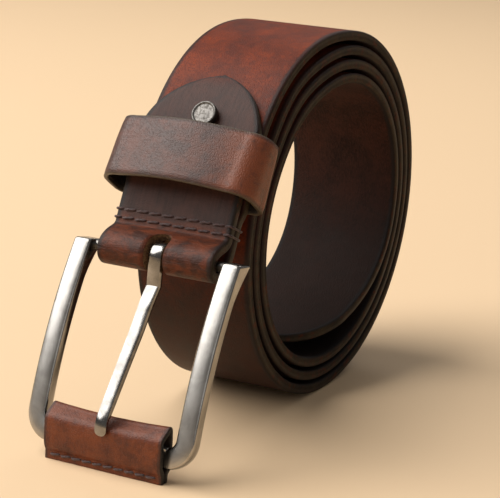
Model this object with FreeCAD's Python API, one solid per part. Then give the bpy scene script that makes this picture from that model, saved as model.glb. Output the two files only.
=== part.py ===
import FreeCAD, Part
import math
import os

V = FreeCAD.Vector

# Leather belt rolled up on its edge, buckle hanging in front.
# Millimetres, +Z up, belt width along X, buckle on the -Y side.
# Everything is drawn about the middle of the roll, then moved so that the
# bottom centre of the whole belt is the origin.

# Strap leather
strap_width = 38.0
strap_thickness = 3.1

# Roll: outer face radius of the first turn towards four sides, and how much
# each further turn is smaller there
roll_top = 58.1
roll_back = 60.1
roll_bottom = 57.6
roll_front = 58.9
turn_top = 4.45
turn_back = 3.6
turn_bottom = 4.15
turn_front = 4.3
roll_skew = 1.1
roll_start_angle = 14.0
tail_point_angle = 1245.0
tail_end_angle = 1297.0
tail_dip = 4.8
tail_dip_start = 1185.0
tail_dip_end = 1310.0
tail_point_width = 6.0

# Outer lead down to the buckle
lead_radius = 54.3
lead_centre_y = -5.0
lead_centre_z = 4.2
lead_first_angle = 10.0
lead_last_angle = 68.0
lead_foot_height = 6.5

# Folded end: two plies sewn together, leaning back
tab_lean = 25.0
tab_foot_y = -66.6
tab_foot_z = 10.55
ply_gap = 0.05
sewn_above = 1.2
sewn_below = 3.4
tab_straight = 12.0
tab_contact_angle = 57.0
tab_apex_angle = 38.0
tab_point_length = 18.0
tab_point_radius = 26.0

# Heel bar and the fold round it
bar_radius = 1.5
bar_y = -72.9
bar_z = 0.4
bar_end_cover = 1.0
fold_clearance = 0.35
fold_rise = 30.0
slot_width = 6.4
slot_reach = 1.8
slot_back_top = 1.5

# Punched sizing holes near the free end
hole_count = 5
hole_radius = 2.25
first_hole_angle = 1071.0
hole_step_angle = -33.0

# Sewing thread
thread_radius = 0.38
thread_clearance = 0.05
stitch_row_gap = 2.5
stitch_pitch = 4.2
stitch_holes = 9
thread_end = 1.0
thread_turn = 37.0

# Rivet through the pointed end
rivet_angle = 54.1
rivet_side = 1.0
rivet_cap_radius = 3.9
rivet_cap_height = 2.3
rivet_rim = 0.7
rivet_dish = 0.5
rivet_post_radius = 1.5
rivet_foot_radius = 3.0
rivet_foot_height = 0.9

# Keeper loop
keeper_width = 49.8
keeper_height = 18.7
keeper_bottom = 8.7
keeper_shift = -0.75
keeper_leather = 1.6
keeper_front = 2.95
keeper_front_lean = 13.0
keeper_drop = 0.17
keeper_bow = 2.7
keeper_back = 8.42
keeper_corner = 6.3
keeper_back_corner = 4.5

# Buckle frame
frame_width = 54.9
arm_width = 5.95
arm_depth = 4.0
frame_top_y = -76.5
frame_top_z = 2.8
frame_lean = 25.6
frame_bow = 160.0
frame_chord = 54.1
frame_bottom_z = -51.5
frame_corner = 8.5
lug_wall = 1.3
lug_foot = 9.0

# Front bar and its leather sleeve
front_bar_back = -98.0
front_bar_depth = 3.0
front_bar_top = -40.9
front_bar_slope = 1.5
front_bar_height = 9.6
front_bar_reach = 24.0
sleeve_leather = 1.7
sleeve_length = 38.6
sleeve_clearance = 0.05
flange_depth = 3.4
flange_bottom = -55.5
flange_front = 0.6
sleeve_stitch_z = -53.7
sleeve_stitch_pitch = 3.7
sleeve_stitch_holes = 10

# Tongue
tongue_width = 4.3
tongue_thickness = 2.4
tongue_running_fit = 0.05
tongue_head_lean = 6.5
tongue_head_length = 8.6
tongue_rest_gap = 0.35
tongue_tip_drop = 3.6
tongue_tip_thickness = 0.55
tongue_knee_back = 0.05
tongue_knee_depth = 2.1

half_width = strap_width / 2.0
half_leather = strap_thickness / 2.0


def unit(y, z):
    size = math.hypot(y, z)
    return V(0, y / size, z / size)


def grain_side(along):
    # The smooth side of the leather, seen from the direction of travel
    return V(0, along.z, -along.y)


def four_way(angle, top, back, bottom, front):
    mean = (top + back + bottom + front) / 4.0
    up_down = (top - bottom) / 2.0
    back_front = (back - front) / 2.0
    squash = (top + bottom - back - front) / 4.0
    return mean + up_down * math.cos(angle) + back_front * math.sin(angle) + squash * math.cos(2 * angle)


def roll_radius(degrees):
    # Middle of the leather, degrees counted from the top towards the back
    angle = math.radians(degrees)
    first = four_way(angle, roll_top, roll_back, roll_bottom, roll_front)
    less = four_way(angle, turn_top, turn_back, turn_bottom, turn_front)
    radius = first + roll_skew * math.sin(2 * angle) - less * degrees / 360.0
    if tail_dip_start < degrees < tail_dip_end:
        part = (degrees - tail_dip_start) / (tail_dip_end - tail_dip_start)
        radius -= tail_dip * math.sin(math.pi * part) ** 2
    return radius - half_leather


def roll_point(degrees):
    angle = math.radians(degrees)
    radius = roll_radius(degrees)
    return V(0, radius * math.sin(angle), radius * math.cos(angle))


def roll_station(degrees):
    step = roll_point(degrees - 0.05) - roll_point(degrees + 0.05)
    return roll_point(degrees), unit(step.y, step.z)


def roll_piece(first, last):
    count = max(4, int(round(abs(last - first) / 8.0)))
    return [roll_station(first + (last - first) * i / count) for i in range(count + 1)]


def arc_piece(centre, radius, first, last, clockwise, count=8):
    # Angles from +Y towards +Z
    stations = []
    for i in range(count + 1):
        angle = math.radians(first + (last - first) * i / count)
        out = V(0, math.cos(angle), math.sin(angle))
        turn = V(0, out.z, -out.y) if clockwise else V(0, -out.z, out.y)
        stations.append((centre + out * radius, turn))
    return stations


def line_piece(start, along, length):
    return [(start, along), (start + along * length, along)]


def bend_piece(first, last, grip_first, grip_last, count=10):
    # Smooth link between two stations
    p0, t0 = first
    p3, t3 = last
    p1 = p0 + t0 * grip_first
    p2 = p3 - t3 * grip_last
    stations = []
    for i in range(count + 1):
        u = i / count
        v = 1.0 - u
        point = p0 * v ** 3 + p1 * (3 * v * v * u) + p2 * (3 * v * u * u) + p3 * u ** 3
        slope = (p1 - p0) * (v * v) + (p2 - p1) * (2 * v * u) + (p3 - p2) * (u * u)
        stations.append((point, unit(slope.y, slope.z)))
    return stations


def tab_up():
    lean = math.radians(tab_lean)
    return V(0, math.sin(lean), math.cos(lean))


def tab_in():
    lean = math.radians(tab_lean)
    return V(0, math.cos(lean), -math.sin(lean))


def tab_point(height, inward, side=0.0):
    return V(side, tab_foot_y, tab_foot_z) + tab_up() * height + tab_in() * inward


def lead_centre():
    return V(0, lead_centre_y, lead_centre_z)


def lead_direction(degrees):
    # Outwards from the lead's centre, degrees from the top towards the front
    angle = math.radians(degrees)
    return V(0, -math.sin(angle), math.cos(angle))


def bar_centre():
    return V(0, bar_y, bar_z)


def strap_route():
    # Stations from the free end to the pointed end over the buckle
    turns = []
    angle = tail_point_angle
    while angle - 360.0 > roll_start_angle:
        turns.append(roll_piece(angle, angle - 360.0))
        angle -= 360.0
    turns.append(roll_piece(angle, roll_start_angle))
    lead = arc_piece(lead_centre(), lead_radius - half_leather,
                     90.0 + lead_first_angle, 90.0 + lead_last_angle, False, 12)
    top = bend_piece(turns[-1][-1], lead[0], 9.0, 9.0)
    start, along = lead[-1]
    height = (start - tab_point(0, 0)).dot(tab_up())
    drop = line_piece(start, along, (height - lead_foot_height) / abs(along.dot(tab_up())))
    down = tab_up() * -1.0
    back_middle = strap_thickness + ply_gap + half_leather
    sewn_back = line_piece(tab_point(sewn_above, back_middle), down, sewn_above + sewn_below)
    nip = bend_piece(drop[-1], sewn_back[0], 1.9, 1.9)
    loop_radius = bar_radius + fold_clearance + half_leather
    loop = arc_piece(bar_centre(), loop_radius, 270.0, 90.0 + fold_rise, True, 12)
    back_ply = bend_piece(sewn_back[-1], loop[0], 5.0, 5.0)
    front = line_piece(tab_point(-sewn_below, half_leather), tab_up(), sewn_below + tab_straight)
    rise = bend_piece(loop[-1], front[0], 4.2, 3.0)
    return turns + [top, lead, drop, nip, sewn_back, back_ply, loop, rise, front]


def tab_route(front):
    tip_radius = lead_radius + ply_gap + half_leather
    tip = arc_piece(lead_centre(), tip_radius,
                    90.0 + tab_contact_angle, 90.0 + tab_apex_angle, True)
    close = bend_piece(front[-1], tip[0], 6.0, 6.0)
    return [close, tip]


def face_edge(stations, offset):
    points = [point + grain_side(along) * offset for point, along in stations]
    if len(points) == 2:
        return Part.makeLine(points[0], points[1])
    lengths = [0.0]
    for before, after in zip(points, points[1:]):
        lengths.append(lengths[-1] + (after - before).Length)
    curve = Part.BSplineCurve()
    curve.interpolate(Points=points, Parameters=lengths, Scale=False,
                      InitialTangent=stations[0][1], FinalTangent=stations[-1][1])
    return curve.toShape()


def leather_band(pieces, width=strap_width, thickness=strap_thickness):
    # Band of leather along a route, square edges
    grain = [face_edge(stations, thickness / 2.0) for stations in pieces]
    flesh = [face_edge(stations, -thickness / 2.0) for stations in pieces]
    first, first_along = pieces[0][0]
    last, last_along = pieces[-1][-1]
    start = grain_side(first_along) * (thickness / 2.0)
    end = grain_side(last_along) * (thickness / 2.0)
    closing = [Part.makeLine(first + start, first - start), Part.makeLine(last + end, last - end)]
    wire = Part.Wire(Part.__sortEdges__(grain + flesh + closing))
    band = Part.Face(wire).extrude(V(width, 0, 0))
    band.translate(V(-width / 2.0, 0, 0))
    return band


def x_cylinder(centre, radius, length):
    return Part.makeCylinder(radius, length, V(centre.x - length / 2.0, centre.y, centre.z), V(1, 0, 0))


def x_prism(points, length):
    face = Part.Face(Part.makePolygon(points + [points[0]]))
    solid = face.extrude(V(length, 0, 0))
    solid.translate(V(-length / 2.0, 0, 0))
    return solid


def pointed_end(apex, along, inward, length, radius, blunt=0.0):
    # Leather outside a pointed outline, to be cut away
    across = V(1, 0, 0)
    depth = strap_thickness * 8.0
    shoulder = half_width + 0.01
    pieces = []
    for side in (-1.0, 1.0):
        tip = apex + across * (side * blunt / 2.0)
        root = apex - along * length + across * (side * shoulder)
        chord = root - tip
        middle = (root + tip) * 0.5
        bulge = radius - math.sqrt(radius ** 2 - (chord.Length / 2.0) ** 2)
        outward = along * abs(chord.x) + across * (side * abs(chord.dot(along)))
        outward.normalize()
        arc = Part.Arc(tip, middle + outward * bulge, root).toShape()
        far_root = root + across * (side * 20.0)
        far_top = apex + along * 30.0 + across * (side * (shoulder + 20.0))
        top = apex + along * 30.0 + across * (side * blunt / 2.0)
        rest = Part.makePolygon([root, far_root, far_top, top, tip])
        face = Part.Face(Part.Wire(Part.__sortEdges__([arc] + rest.Edges)))
        piece = face.extrude(inward * depth)
        piece.translate(inward * (-depth / 2.0))
        pieces.append(piece)
    return pieces[0].fuse(pieces[1])


def row_positions(count, pitch):
    return [pitch * (i - (count - 1) / 2.0) for i in range(count)]


def stitch_row(front, inward, thickness, holes, pitch, end_side=0.0):
    # One thread: a run on the front, a run on the back, a strand in each hole
    lift = thread_radius + thread_clearance
    reach = pitch * (holes - 1) / 2.0 + thread_end
    if end_side:
        reach = end_side + lift
    run_front = front - inward * lift
    run_back = front + inward * (thickness + lift)
    row = None
    for run in (run_front, run_back):
        strand = x_cylinder(run, thread_radius, 2 * reach)
        strand.rotate(run, V(1, 0, 0), thread_turn)
        row = strand if row is None else row.fuse(strand)
    sides = row_positions(holes, pitch)
    if end_side:
        sides = sides + [-reach, reach]
    for side in sides:
        start = run_front + V(side, 0, 0)
        strand = Part.makeCylinder(thread_radius, thickness + 2 * lift, start, inward)
        strand.rotate(start, inward, thread_turn)
        row = row.fuse(strand)
    for side in (-reach, reach):
        for run in (run_front, run_back):
            end = Part.makeSphere(thread_radius, run + V(side, 0, 0))
            end.rotate(run + V(side, 0, 0), V(0, 1, 0), 90)
            row = row.fuse(end)
    return row


def stitch_cut(front, inward, thickness, holes, pitch):
    cut = None
    for side in row_positions(holes, pitch):
        start = front + V(side, 0, 0) - inward * 2.0
        hole = Part.makeCylinder(thread_radius + thread_clearance, thickness + 4.0, start, inward)
        cut = hole if cut is None else cut.fuse(hole)
    return cut


def fold_thickness():
    return 2 * strap_thickness + ply_gap


def rivet_in():
    return lead_direction(rivet_angle) * -1.0


def rivet_seat():
    # Where the rivet's axis meets the outer face of the pointed end
    radius = lead_radius + ply_gap + strap_thickness
    return lead_centre() + lead_direction(rivet_angle) * radius + V(rivet_side, 0, 0)


def tongue_slot():
    rise = math.radians(fold_rise)
    along = V(0, math.cos(rise), math.sin(rise))
    inward = V(0, math.sin(rise), -math.cos(rise))
    loop = bar_radius + fold_clearance + strap_thickness
    face_point = bar_centre() - inward * loop
    top = face_point + along * slot_reach
    half_slot = slot_width / 2.0
    front = Part.makeCylinder(half_slot, 9.0, top - inward * 3.0, inward)
    corners = [top + V(side * half_slot, 0, 0) - inward * 3.0 - along * drop
               for side, drop in ((-1, 0), (1, 0), (1, 30), (-1, 30))]
    front = front.fuse(Part.Face(Part.makePolygon(corners + [corners[0]])).extrude(inward * 9.0))
    length = 14.0
    back = Part.makeCylinder(half_slot, length, V(0, bar_y, bar_z + slot_back_top), V(0, 1, 0))
    box = Part.makeBox(slot_width, length + 12.0, 12.0,
                       V(-half_slot, bar_y - 12.0, bar_z + slot_back_top - 12.0))
    return front.fuse(back).fuse(box)


def make_strap():
    route = strap_route()
    strap = leather_band(route)
    for i in range(hole_count):
        centre, along = roll_station(first_hole_angle + i * hole_step_angle)
        outward = grain_side(along)
        reach = half_leather + 0.2
        strap = strap.cut(Part.makeCylinder(hole_radius, 2 * reach, centre - outward * reach, outward))
    strap = strap.cut(tongue_slot())
    for height in (0.0, -stitch_row_gap):
        strap = strap.cut(stitch_cut(tab_point(height, 0), tab_in(), fold_thickness(),
                                     stitch_holes, stitch_pitch))
    apex_out = lead_direction(tab_apex_angle)
    tip_middle = lead_direction((tab_apex_angle + tab_contact_angle) / 2.0)
    apex = lead_centre() + apex_out * (lead_radius + strap_thickness)
    tip_along = V(0, tip_middle.z, -tip_middle.y)
    tab = leather_band(tab_route(route[-1]))
    tab = tab.cut(pointed_end(apex, tip_along, tip_middle * -1.0, tab_point_length, tab_point_radius))
    tail = leather_band([roll_piece(tail_end_angle, tail_point_angle)])
    end, end_along = roll_station(tail_end_angle)
    middle, middle_along = roll_station((tail_end_angle + tail_point_angle) / 2.0)
    length = (end - roll_point(tail_point_angle)).Length - 1.0
    flat = middle_along * -1.0
    tail = tail.cut(pointed_end(end, flat, grain_side(middle_along), length,
                                length * 1.6, tail_point_width))
    strap = strap.fuse(tab).fuse(tail)
    seat = rivet_seat() - rivet_in() * 2.0
    hole = Part.makeCylinder(rivet_post_radius + thread_clearance, fold_thickness() + 3.5, seat, rivet_in())
    return strap.cut(hole).removeSplitter()


def make_rivet_cap():
    seat = rivet_seat()
    out = rivet_in() * -1.0
    base = seat + out * thread_clearance
    cap = Part.makeCylinder(rivet_cap_radius, rivet_cap_height, base, out)
    dish_base = base + out * (rivet_cap_height - rivet_dish)
    dish = Part.makeCylinder(rivet_cap_radius - rivet_rim, rivet_dish + 1.0, dish_base, out)
    socket = Part.makeCylinder(rivet_post_radius, rivet_cap_height / 2.0 + 1.0, base - out, out)
    return cap.cut(dish).cut(socket)


def make_rivet_post():
    seat = rivet_seat()
    inward = rivet_in()
    start = seat - inward * (rivet_cap_height / 2.0 + thread_clearance)
    reach = rivet_cap_height / 2.0 + thread_clearance + fold_thickness() + 0.15
    post = Part.makeCylinder(rivet_post_radius, reach + rivet_foot_height, start, inward)
    foot = Part.makeCylinder(rivet_foot_radius, rivet_foot_height, start + inward * reach, inward)
    return post.fuse(foot).removeSplitter()


def keeper_outline(inset, height):
    # Closed loop in the plane across the tab, its front further out lower down
    half = keeper_width / 2.0 - inset
    corner = keeper_corner - inset
    back_corner = keeper_back_corner - inset
    back = keeper_back + keeper_leather - inset
    below_middle = keeper_bottom + keeper_height / 2.0 - height
    lean_out = below_middle * math.tan(math.radians(keeper_front_lean))
    front = -(keeper_front + keeper_leather + lean_out) + inset

    def at(side, inward):
        return tab_point(height, inward, side + keeper_shift)

    def corner_arc(side, inward, side_sign, in_sign, radius):
        lean = radius * (1.0 - math.sqrt(0.5))
        first = at(side, inward - in_sign * radius)
        middle = at(side - side_sign * lean, inward - in_sign * lean)
        last = at(side - side_sign * radius, inward)
        return Part.Arc(first, middle, last).toShape()

    edges = [corner_arc(half, back, 1, 1, back_corner),
             Part.makeLine(at(half - back_corner, back), at(back_corner - half, back)),
             corner_arc(-half, back, -1, 1, back_corner),
             Part.makeLine(at(-half, back - back_corner), at(-half, front + corner)),
             corner_arc(-half, front, -1, -1, corner),
             Part.Arc(at(corner - half, front), at(0, front - keeper_bow),
                      at(half - corner, front)).toShape(),
             corner_arc(half, front, 1, -1, corner),
             Part.makeLine(at(half, front + corner), at(half, back - back_corner))]
    return Part.Wire(Part.__sortEdges__(edges))


def keeper_tube(inset, low, high):
    wires = [keeper_outline(inset, low), keeper_outline(inset, high)]
    return Part.makeLoft(wires, True, True)


def keeper_slab():
    # Everything between the two cut edges, which drop towards the back
    corners = []
    for inward, heights in ((-20.0, (0.0, 1.0)), (20.0, (1.0, 0.0))):
        for part in heights:
            below_middle = (0.5 - part) * keeper_height
            lean_out = below_middle * math.tan(math.radians(keeper_front_lean))
            front = -(keeper_front + keeper_leather + lean_out)
            height = keeper_bottom + part * keeper_height - (inward - front) * keeper_drop
            corners.append(tab_point(height, inward))
    return x_prism(corners, keeper_width + 10.0)


def make_keeper():
    low = keeper_bottom - 5.0
    high = keeper_bottom + keeper_height + 1.0
    ring = keeper_tube(0.0, low, high).cut(keeper_tube(keeper_leather, low - 1.0, high + 0.5))
    return ring.common(keeper_slab())


def bow_centre():
    lean = math.radians(frame_lean)
    down = V(0, -math.sin(lean), -math.cos(lean))
    inward = V(0, math.cos(lean), -math.sin(lean))
    rise = frame_bow - math.sqrt(frame_bow ** 2 - (frame_chord / 2.0) ** 2)
    middle = V(0, frame_top_y, frame_top_z) + down * (frame_chord / 2.0)
    return middle + inward * (frame_bow - rise)


def arm_profile():
    centre = bow_centre()
    top = math.degrees(math.atan2(frame_top_z - centre.z, frame_top_y - centre.y))
    low = 180.0 - math.degrees(math.asin((frame_bottom_z - 1.0 - centre.z) / frame_bow))
    middle = (top + low) / 2.0

    def at(radius, degrees):
        angle = math.radians(degrees)
        return centre + V(0, math.cos(angle), math.sin(angle)) * radius

    inner = frame_bow - arm_depth
    edges = [Part.Arc(at(frame_bow, top), at(frame_bow, middle), at(frame_bow, low)).toShape(),
             Part.makeLine(at(frame_bow, low), at(inner, low)),
             Part.Arc(at(inner, low), at(inner, middle), at(inner, top)).toShape(),
             Part.makeLine(at(inner, top), at(frame_bow, top))]
    foot_angle = top + math.degrees(lug_foot / frame_bow)
    return Part.Face(Part.Wire(edges)), at(inner, foot_angle), at(frame_bow - 1.5, top)


def front_bar_points(grow):
    # Front bar section; grow adds the sleeve's leather round it
    back = front_bar_back + grow
    front = front_bar_back - front_bar_depth - grow
    top = front_bar_top + grow
    low = front_bar_top - front_bar_height - grow
    return [V(0, back, top), V(0, back, low), V(0, front, low), V(0, front, top - front_bar_slope)]


def make_frame():
    profile, foot, shoulder = arm_profile()
    lug_radius = bar_radius + lug_wall
    centre = bar_centre()
    frame = None
    for side in (-1.0, 1.0):
        inner_side = side * (frame_width / 2.0 - arm_width / 2.0)
        arm = profile.extrude(V(arm_width, 0, 0))
        web = x_prism([shoulder, centre + V(0, 0, lug_radius), centre + V(0, lug_radius, 0), foot], arm_width)
        web.translate(V(arm_width / 2.0, 0, 0))
        lug = x_cylinder(centre + V(arm_width / 2.0, 0, 0), lug_radius, arm_width)
        arm = arm.fuse(web).fuse(lug)
        arm.translate(V(inner_side - arm_width / 2.0, 0, 0))
        frame = arm if frame is None else frame.fuse(arm)
    frame = frame.fuse(x_prism(front_bar_points(0.0), 2 * front_bar_reach))
    half = frame_width / 2.0
    outline = Part.makeBox(frame_width, 90.0, 90.0, V(-half, -130.0, frame_bottom_z))
    low_edges = [edge for edge in outline.Edges
                 if abs(edge.BoundBox.ZMax - frame_bottom_z) < 0.01 and edge.BoundBox.XLength < 0.01]
    outline = outline.makeFillet(frame_corner, low_edges)
    frame = frame.common(outline)
    hole_length = frame_width - 2 * bar_end_cover
    return frame.cut(x_cylinder(centre, bar_radius, hole_length)).removeSplitter()


def make_heel_bar():
    return x_cylinder(bar_centre(), bar_radius, frame_width - 2 * bar_end_cover)


def flange_face():
    return front_bar_back - front_bar_depth - sleeve_leather + flange_front


def make_sleeve():
    outer = x_prism(front_bar_points(sleeve_leather), sleeve_length)
    long_edges = [edge for edge in outer.Edges if edge.BoundBox.XLength > sleeve_length - 0.01]
    outer = outer.makeFillet(sleeve_leather * 0.75, long_edges)
    face = flange_face()
    top = front_bar_top - front_bar_height - sleeve_leather / 2.0
    flange = Part.makeBox(sleeve_length, flange_depth, top - flange_bottom,
                          V(-sleeve_length / 2.0, face, flange_bottom))
    inner = x_prism(front_bar_points(sleeve_clearance), sleeve_length + 2.0)
    sleeve = outer.fuse(flange).cut(inner)
    seam = V(0, face, sleeve_stitch_z)
    return sleeve.cut(stitch_cut(seam, V(0, 1, 0), flange_depth,
                                 sleeve_stitch_holes, sleeve_stitch_pitch)).removeSplitter()


def make_sleeve_stitching():
    seam = V(0, flange_face(), sleeve_stitch_z)
    return stitch_row(seam, V(0, 1, 0), flange_depth, sleeve_stitch_holes, sleeve_stitch_pitch)


def behind(down):
    return V(0, -down.z, down.y)


def make_tongue():
    centre = bar_centre()
    hole = bar_radius + tongue_running_fit
    eye = hole + tongue_thickness
    lean = math.radians(tongue_head_lean)
    head = V(0, -math.sin(lean), -math.cos(lean))
    top_back, low_back, low_front, top_front = front_bar_points(sleeve_leather)
    slope = unit(top_front.y - top_back.y, top_front.z - top_back.z)
    clear = V(0, slope.z, -slope.y) * tongue_rest_gap
    knee_back = top_front + clear + V(0, -tongue_rest_gap, 0)
    knee_front = knee_back + V(0, tongue_knee_back, tongue_knee_depth)
    tip_back = knee_back - V(0, 0, tongue_tip_drop)
    tip_front = tip_back - V(0, tongue_tip_thickness, 0)
    eye_front = centre - behind(head) * eye
    eye_back = centre - behind(head) * hole
    kink_front = eye_front + head * tongue_head_length
    shank = unit(knee_front.y - kink_front.y, knee_front.z - kink_front.z)
    middle = unit(head.y + shank.y, head.z + shank.z)
    kink_back = kink_front + behind(middle) * (tongue_thickness / middle.dot(head))
    rest_line = top_back + clear
    spare = (rest_line - kink_back).dot(behind(shank))
    rest_start = rest_line - slope * (spare / slope.dot(behind(shank)))
    outline = [eye_front, kink_front, knee_front, tip_front, tip_back, knee_back,
               rest_start, kink_back, eye_back]
    tongue = x_prism(outline, tongue_width)
    tongue = tongue.fuse(x_cylinder(centre, eye, tongue_width))
    return tongue.cut(x_cylinder(centre, hole, tongue_width + 2.0)).removeSplitter()


def fold_row(height):
    return stitch_row(tab_point(height, 0), tab_in(), fold_thickness(),
                      stitch_holes, stitch_pitch, half_width)


def all_parts():
    return {
        "strap": make_strap(),
        "fold_stitch_upper": fold_row(0.0),
        "fold_stitch_lower": fold_row(-stitch_row_gap),
        "rivet_cap": make_rivet_cap(),
        "rivet_post": make_rivet_post(),
        "keeper_loop": make_keeper(),
        "buckle_frame": make_frame(),
        "heel_bar": make_heel_bar(),
        "tongue": make_tongue(),
        "front_sleeve": make_sleeve(),
        "sleeve_stitching": make_sleeve_stitching(),
    }


def move_to_origin(parts):
    box = FreeCAD.BoundBox()
    for shape in parts.values():
        box.add(shape.optimalBoundingBox(False, False))
    shift = V(-(box.XMin + box.XMax) / 2.0, -(box.YMin + box.YMax) / 2.0, -box.ZMin)
    for shape in parts.values():
        shape.translate(shift)
    return shift


parts = all_parts()
shift = move_to_origin(parts)
os.makedirs("parts", exist_ok=True)
for name, shape in parts.items():
    shape.exportStep("parts/" + name + ".step")
    box = shape.BoundBox
    print(name, "solids", len(shape.Solids), "valid", shape.isValid(), "volume", round(shape.Volume, 1),
          "size", round(box.XLength, 2), round(box.YLength, 2), round(box.ZLength, 2))
print("moved by", round(shift.x, 4), round(shift.y, 4), round(shift.z, 4))
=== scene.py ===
import bpy
import math
import random
import numpy as np
from mathutils import Vector, Matrix, noise
from mathutils.kdtree import KDTree


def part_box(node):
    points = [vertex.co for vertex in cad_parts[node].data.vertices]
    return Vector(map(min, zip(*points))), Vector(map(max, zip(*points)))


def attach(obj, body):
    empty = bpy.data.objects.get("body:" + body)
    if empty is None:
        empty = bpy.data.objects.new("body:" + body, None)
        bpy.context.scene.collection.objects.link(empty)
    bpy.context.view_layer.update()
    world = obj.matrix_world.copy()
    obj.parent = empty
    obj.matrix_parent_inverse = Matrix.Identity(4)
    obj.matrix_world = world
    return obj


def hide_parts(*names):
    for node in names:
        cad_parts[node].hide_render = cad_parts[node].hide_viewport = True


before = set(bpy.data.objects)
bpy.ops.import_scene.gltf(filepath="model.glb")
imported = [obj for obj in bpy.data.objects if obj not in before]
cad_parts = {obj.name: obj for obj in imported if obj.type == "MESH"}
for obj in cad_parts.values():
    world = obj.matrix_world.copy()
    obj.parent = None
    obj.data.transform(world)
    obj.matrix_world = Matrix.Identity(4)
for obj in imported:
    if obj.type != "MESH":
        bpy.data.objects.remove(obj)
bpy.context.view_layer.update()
random.seed(11)
mm = 0.001
barLow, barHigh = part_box("heel_bar")
rollCentre = (barLow + barHigh) / 2 - Vector((0, -72.9, 0.4)) * mm  # middle of the rolled strap
print("stage: frame loaded")


def toFrame(x, y, z):
    return rollCentre + Vector((x, y, z)) * mm


# ---------------------------------------------------------------- node helpers
def addNode(tree, kind, **values):
    node = tree.nodes.new(kind)
    for key, value in values.items():
        setattr(node, key, value)
    return node


def feed(tree, node, **sockets):
    # plain values go on the socket, sockets get linked
    for key, value in sockets.items():
        target = node.inputs[key.replace("_", " ")]
        if isinstance(value, bpy.types.NodeSocket):
            tree.links.new(value, target)
        else:
            target.default_value = value
    return node


def noiseNode(tree, vector, scale, detail=3.0, roughness=0.55, distortion=0.0):
    node = addNode(tree, "ShaderNodeTexNoise")
    feed(tree, node, Vector=vector, Scale=scale, Detail=detail, Roughness=roughness, Distortion=distortion)
    return node.outputs["Fac"]


def stretched(tree, vector, scale):
    node = addNode(tree, "ShaderNodeMapping")
    feed(tree, node, Vector=vector, Scale=scale)
    return node.outputs["Vector"]


def ramp(tree, value, low, high, smooth=True):
    # 0 at low, 1 at high
    node = addNode(tree, "ShaderNodeMapRange", interpolation_type="SMOOTHSTEP" if smooth else "LINEAR")
    feed(tree, node, Value=value, From_Min=low, From_Max=high, To_Min=0.0, To_Max=1.0)
    return node.outputs["Result"]


def maths(tree, operation, first, second=0.0):
    node = addNode(tree, "ShaderNodeMath", operation=operation)
    for i, value in enumerate((first, second)):
        if isinstance(value, bpy.types.NodeSocket):
            tree.links.new(value, node.inputs[i])
        else:
            node.inputs[i].default_value = value
    return node.outputs[0]


def mixColour(tree, factor, first, second, blend="MIX"):
    node = addNode(tree, "ShaderNodeMix", data_type="RGBA", blend_type=blend)
    for index, value in ((0, factor), (6, first), (7, second)):
        if isinstance(value, bpy.types.NodeSocket):
            tree.links.new(value, node.inputs[index])
        elif index == 0:
            node.inputs[0].default_value = value
        else:
            node.inputs[index].default_value = (*value, 1.0)
    return node.outputs[2]


def attributeNode(tree, name):
    node = addNode(tree, "ShaderNodeAttribute", attribute_name=name)
    return node


def makeGroup(name, inputs, outputs):
    tree = bpy.data.node_groups.new(name, "ShaderNodeTree")
    for label, kind, value in inputs:
        socket = tree.interface.new_socket(label, in_out="INPUT", socket_type=kind)
        if value is not None:
            socket.default_value = value
    for label, kind in outputs:
        tree.interface.new_socket(label, in_out="OUTPUT", socket_type=kind)
    return tree, tree.nodes.new("NodeGroupInput").outputs, tree.nodes.new("NodeGroupOutput")


def placeGroup(tree, group, **sockets):
    node = addNode(tree, "ShaderNodeGroup")
    node.node_tree = group
    return feed(tree, node, **sockets)


def newMaterial(name, **shader):
    material = bpy.data.materials.new(name)
    material.use_nodes = True
    tree = material.node_tree
    principled = tree.nodes["Principled BSDF"]
    for key, value in shader.items():
        principled.inputs[key.replace("_", " ")].default_value = value
    return material, tree, principled


# ------------------------------------------------------------- shared effects
def buildLeatherGrain():
    # pores, soft blotches and long pull marks, in millimetres along the hide
    tree, given, made = makeGroup(
        "leatherGrain",
        [("Hide", "NodeSocketVector", None), ("Pore Size", "NodeSocketFloat", 0.45),
         ("Blotch Size", "NodeSocketFloat", 9.0), ("Pull", "NodeSocketFloat", 0.5)],
        [("Blotch", "NodeSocketFloat"), ("Speckle", "NodeSocketFloat"), ("Height", "NodeSocketFloat")])
    poreScale = maths(tree, "DIVIDE", 1.0, given["Pore Size"])
    blotchScale = maths(tree, "DIVIDE", 1.0, given["Blotch Size"])
    cells = addNode(tree, "ShaderNodeTexVoronoi", feature="F1")
    feed(tree, cells, Vector=given["Hide"], Scale=poreScale, Randomness=1.0)
    pores = ramp(tree, cells.outputs["Distance"], 0.05, 0.6)
    wide = noiseNode(tree, given["Hide"], blotchScale, 4.0, 0.6, 0.4)
    middle = noiseNode(tree, given["Hide"], maths(tree, "MULTIPLY", blotchScale, 4.3), 4.0, 0.65)
    pull = noiseNode(tree, stretched(tree, given["Hide"], (0.12, 2.2, 2.2)), 1.0, 3.0, 0.6)
    fine = noiseNode(tree, given["Hide"], maths(tree, "MULTIPLY", poreScale, 1.7), 3.0, 0.7)
    blotch = maths(tree, "ADD", maths(tree, "MULTIPLY", wide, 0.62), maths(tree, "MULTIPLY", middle, 0.38))
    speckle = maths(tree, "MULTIPLY", pores, fine)
    drawn = maths(tree, "MULTIPLY", pull, given["Pull"])
    height = maths(tree, "ADD", maths(tree, "MULTIPLY", pores, 0.5), maths(tree, "MULTIPLY", fine, 0.5))
    height = maths(tree, "ADD", height, drawn)
    tree.links.new(blotch, made.inputs["Blotch"])
    tree.links.new(speckle, made.inputs["Speckle"])
    tree.links.new(height, made.inputs["Height"])
    return tree


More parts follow.
